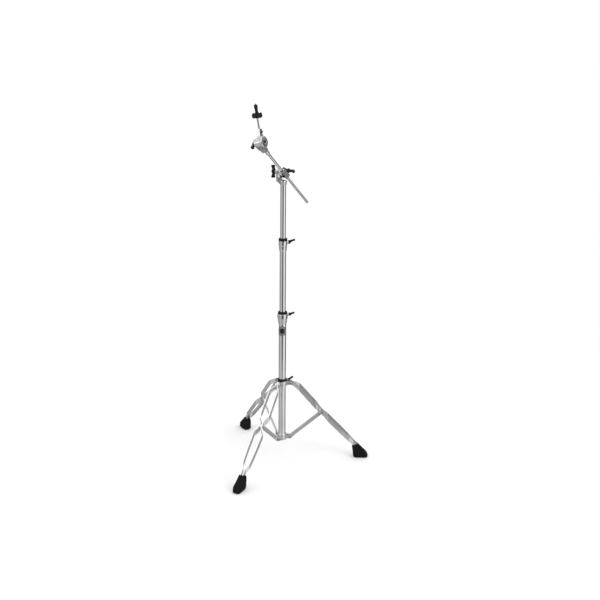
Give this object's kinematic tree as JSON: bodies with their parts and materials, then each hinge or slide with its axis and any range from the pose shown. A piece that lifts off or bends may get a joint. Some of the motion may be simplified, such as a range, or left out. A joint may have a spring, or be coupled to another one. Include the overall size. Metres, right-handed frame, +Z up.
{
  "type": "cymbal boom stand",
  "caption": "Folding double-braced tripod stand with telescopic column, height clamps and a tilting boom arm that carries a cymbal post with wing nuts.",
  "frame": {"origin": "on the axis of the main tube, at floor height", "axes": "+Z up along the main tube; +X points along the right-hand leg; the boom rises towards -X and -Y, 136 degrees clockwise from +X"},
  "size_m": [0.5547, 0.6394, 1.4539],
  "materials": {
    "chrome_tube": "polished",
    "chrome_rod": "polished",
    "satin_chrome": "bright, lightly brushed",
    "chrome_casting": "bright plated casting",
    "leg_chrome": "bright",
    "foot_rubber": "matte",
    "rivet_steel": "zinc plated",
    "screw_steel": "dark plated",
    "black_handle": "moulded, satin",
    "black_nylon": "satin",
    "sleeve_rubber": "satin",
    "badge_gloss": null
  },
  "bodies": {
    "base": {"base_tube": "chrome_tube", "base_hub": "satin_chrome", "base_plug": "black_nylon", "hub_rivets": "rivet_steel", "middle_clamp": "chrome_casting", "badge": "badge_gloss"},
    "leg_collar": {"leg_collar": "satin_chrome", "collar_bush": "black_nylon", "collar_rivets": "rivet_steel"},
    "collar_screw": {"collar_screw": "screw_steel", "collar_wing": "black_handle"},
    "middle_screw": {"middle_screw": "screw_steel", "middle_wing": "black_handle"},
    "middle_bush": {"middle_bush": "black_nylon"},
    "middle_section": {"middle_tube": "chrome_tube", "upper_clamp": "chrome_casting"},
    "upper_screw": {"upper_screw": "screw_steel", "upper_wing": "black_handle"},
    "upper_bush": {"upper_bush": "black_nylon"},
    "upper_section": {"upper_tube": "chrome_tube", "boom_base": "chrome_casting", "boom_base_pin": "rivet_steel"},
    "boom_clamp": {"boom_block": "chrome_casting", "boom_hinge_washer": "screw_steel"},
    "boom_hinge_screw": {"boom_hinge_screw": "screw_steel", "boom_hinge_wing": "black_handle"},
    "boom_clamp_screw": {"boom_clamp_screw": "screw_steel", "boom_clamp_wing": "black_handle"},
    "boom_rod_bush": {"boom_rod_bush": "black_nylon"},
    "boom": {"boom_rod": "chrome_rod", "boom_ferrule": "chrome_casting", "tilter_base": "chrome_casting", "tilter_washer": "screw_steel"},
    "tilter_arm": {"tilter_arm": "chrome_casting", "tilter_disc": "chrome_casting", "tilter_bolt": "screw_steel", "cymbal_post": "chrome_rod"},
    "tilter_wing": {"tilter_wing": "black_handle"},
    "post_lock_screw": {"post_lock_screw": "screw_steel"},
    "seat_wing_nut": {"seat_wing_nut": "black_handle"},
    "cymbal_sleeve": {"cymbal_sleeve": "sleeve_rubber"},
    "top_nut": {"top_nut": "black_handle"},
    "leg_right": {"leg_right_bar_a": "leg_chrome", "leg_right_bar_b": "leg_chrome", "foot_right": "foot_rubber", "leg_right_rivets": "rivet_steel"},
    "strut_right": {"strut_right": "leg_chrome"},
    "leg_front": {"leg_front_bar_a": "leg_chrome", "leg_front_bar_b": "leg_chrome", "foot_front": "foot_rubber", "leg_front_rivets": "rivet_steel"},
    "strut_front": {"strut_front": "leg_chrome"},
    "leg_rear": {"leg_rear_bar_a": "leg_chrome", "leg_rear_bar_b": "leg_chrome", "foot_rear": "foot_rubber", "leg_rear_rivets": "rivet_steel"},
    "strut_rear": {"strut_rear": "leg_chrome"}
  },
  "joints": [
    {"name": "tripod_fold", "type": "slide", "parent": "base", "child": "leg_collar", "axis": [0, 0, 1], "range_m": [0, 0.112]},
    {"name": "leg_right_hinge", "type": "hinge", "parent": "leg_collar", "child": "leg_right", "pos_m": [0.0335, 0, 0.3366], "axis": [0, 1, 0], "range_deg": [0, 36.67]},
    {"name": "strut_right_hinge", "type": "hinge", "parent": "leg_right", "child": "strut_right", "pos_m": [0.166, 0, 0.206], "axis": [0, -1, 0], "range_deg": [0, 77.23]},
    {"name": "leg_front_hinge", "type": "hinge", "parent": "leg_collar", "child": "leg_front", "pos_m": [-0.01675, -0.02901, 0.3366], "axis": [0.866, -0.5, 0], "range_deg": [0, 36.67]},
    {"name": "strut_front_hinge", "type": "hinge", "parent": "leg_front", "child": "strut_front", "pos_m": [-0.083, -0.14376, 0.206], "axis": [-0.866, 0.5, 0], "range_deg": [0, 77.23]},
    {"name": "leg_rear_hinge", "type": "hinge", "parent": "leg_collar", "child": "leg_rear", "pos_m": [-0.01675, 0.02901, 0.3366], "axis": [-0.866, -0.5, 0], "range_deg": [0, 36.67]},
    {"name": "strut_rear_hinge", "type": "hinge", "parent": "leg_rear", "child": "strut_rear", "pos_m": [-0.083, 0.14376, 0.206], "axis": [0.866, 0.5, 0], "range_deg": [0, 77.23]},
    {"name": "collar_screw_turn", "type": "hinge", "parent": "leg_collar", "child": "collar_screw", "pos_m": [0.01859, 0.01959, 0.3374], "axis": [0.6884, 0.7254, 0], "range_deg": [0, 450]},
    {"name": "middle_screw_turn", "type": "hinge", "parent": "base", "child": "middle_screw", "pos_m": [0.02171, 0.0152, 0.624], "axis": [0.8192, 0.5736, 0], "range_deg": [0, 450]},
    {"name": "middle_turn", "type": "hinge", "parent": "base", "child": "middle_bush", "pos_m": [0, 0, 0.636], "axis": [0, 0, 1], "continuous": true},
    {"name": "middle_height", "type": "slide", "parent": "middle_bush", "child": "middle_section", "axis": [0, 0, 1], "range_m": [-0.24, 0.08]},
    {"name": "upper_screw_turn", "type": "hinge", "parent": "middle_section", "child": "upper_screw", "pos_m": [0.01856, 0.01324, 0.923], "axis": [0.8141, 0.5807, 0], "range_deg": [0, 450]},
    {"name": "upper_turn", "type": "hinge", "parent": "middle_section", "child": "upper_bush", "pos_m": [0, 0, 0.936], "axis": [0, 0, 1], "continuous": true},
    {"name": "upper_height", "type": "slide", "parent": "upper_bush", "child": "upper_section", "axis": [0, 0, 1], "range_m": [-0.2, 0.09]},
    {"name": "boom_tilt", "type": "hinge", "parent": "upper_section", "child": "boom_clamp", "pos_m": [0, 0, 1.1962], "axis": [0.6947, -0.7193, 0], "range_deg": [-10, 50]},
    {"name": "boom_hinge_screw_turn", "type": "hinge", "parent": "upper_section", "child": "boom_hinge_screw", "pos_m": [-0.02709, 0.02805, 1.1962], "axis": [-0.6947, 0.7193, 0], "range_deg": [0, 450]},
    {"name": "boom_clamp_screw_turn", "type": "hinge", "parent": "boom_clamp", "child": "boom_clamp_screw", "pos_m": [0.01449, 0.01399, 1.19415], "axis": [0.4961, 0.479, 0.7242], "range_deg": [0, 450]},
    {"name": "boom_roll", "type": "hinge", "parent": "boom_clamp", "child": "boom_rod_bush", "pos_m": [0, 0, 1.1962], "axis": [-0.5209, -0.5031, 0.6896], "continuous": true},
    {"name": "boom_reach", "type": "slide", "parent": "boom_rod_bush", "child": "boom", "axis": [-0.5209, -0.5031, 0.6896], "range_m": [-0.092, 0.15]},
    {"name": "tilter_tilt", "type": "hinge", "parent": "boom", "child": "tilter_arm", "pos_m": [-0.08908, -0.08602, 1.31412], "axis": [0.8227, -0.5113, 0.2485], "range_deg": [-60, 60]},
    {"name": "tilter_wing_turn", "type": "hinge", "parent": "tilter_arm", "child": "tilter_wing", "pos_m": [-0.10076, -0.07876, 1.3106], "axis": [-0.8227, 0.5113, -0.2485], "range_deg": [0, 450]},
    {"name": "post_lock_turn", "type": "hinge", "parent": "tilter_arm", "child": "post_lock_screw", "pos_m": [-0.08313, -0.08472, 1.35423], "axis": [0.8227, -0.5113, 0.2485], "range_deg": [0, 450]},
    {"name": "seat_wing_turn", "type": "hinge", "parent": "tilter_arm", "child": "seat_wing_nut", "pos_m": [-0.09631, -0.06969, 1.40267], "axis": [-0.1508, 0.2252, 0.9626], "continuous": true},
    {"name": "sleeve_turn", "type": "hinge", "parent": "tilter_arm", "child": "cymbal_sleeve", "pos_m": [-0.09942, -0.06505, 1.4225], "axis": [-0.1508, 0.2252, 0.9626], "continuous": true},
    {"name": "top_nut_turn", "type": "hinge", "parent": "tilter_arm", "child": "top_nut", "pos_m": [-0.10174, -0.06158, 1.43732], "axis": [-0.1508, 0.2252, 0.9626], "continuous": true}
  ],
  "couplings": [
    {"joint": "leg_right_hinge", "follows": "tripod_fold", "rad_per_m": 5.7063},
    {"joint": "strut_right_hinge", "follows": "tripod_fold", "rad_per_m": 12.028},
    {"joint": "leg_front_hinge", "follows": "tripod_fold", "rad_per_m": 5.7063},
    {"joint": "strut_front_hinge", "follows": "tripod_fold", "rad_per_m": 12.028},
    {"joint": "leg_rear_hinge", "follows": "tripod_fold", "rad_per_m": 5.7063},
    {"joint": "strut_rear_hinge", "follows": "tripod_fold", "rad_per_m": 12.028}
  ]
}
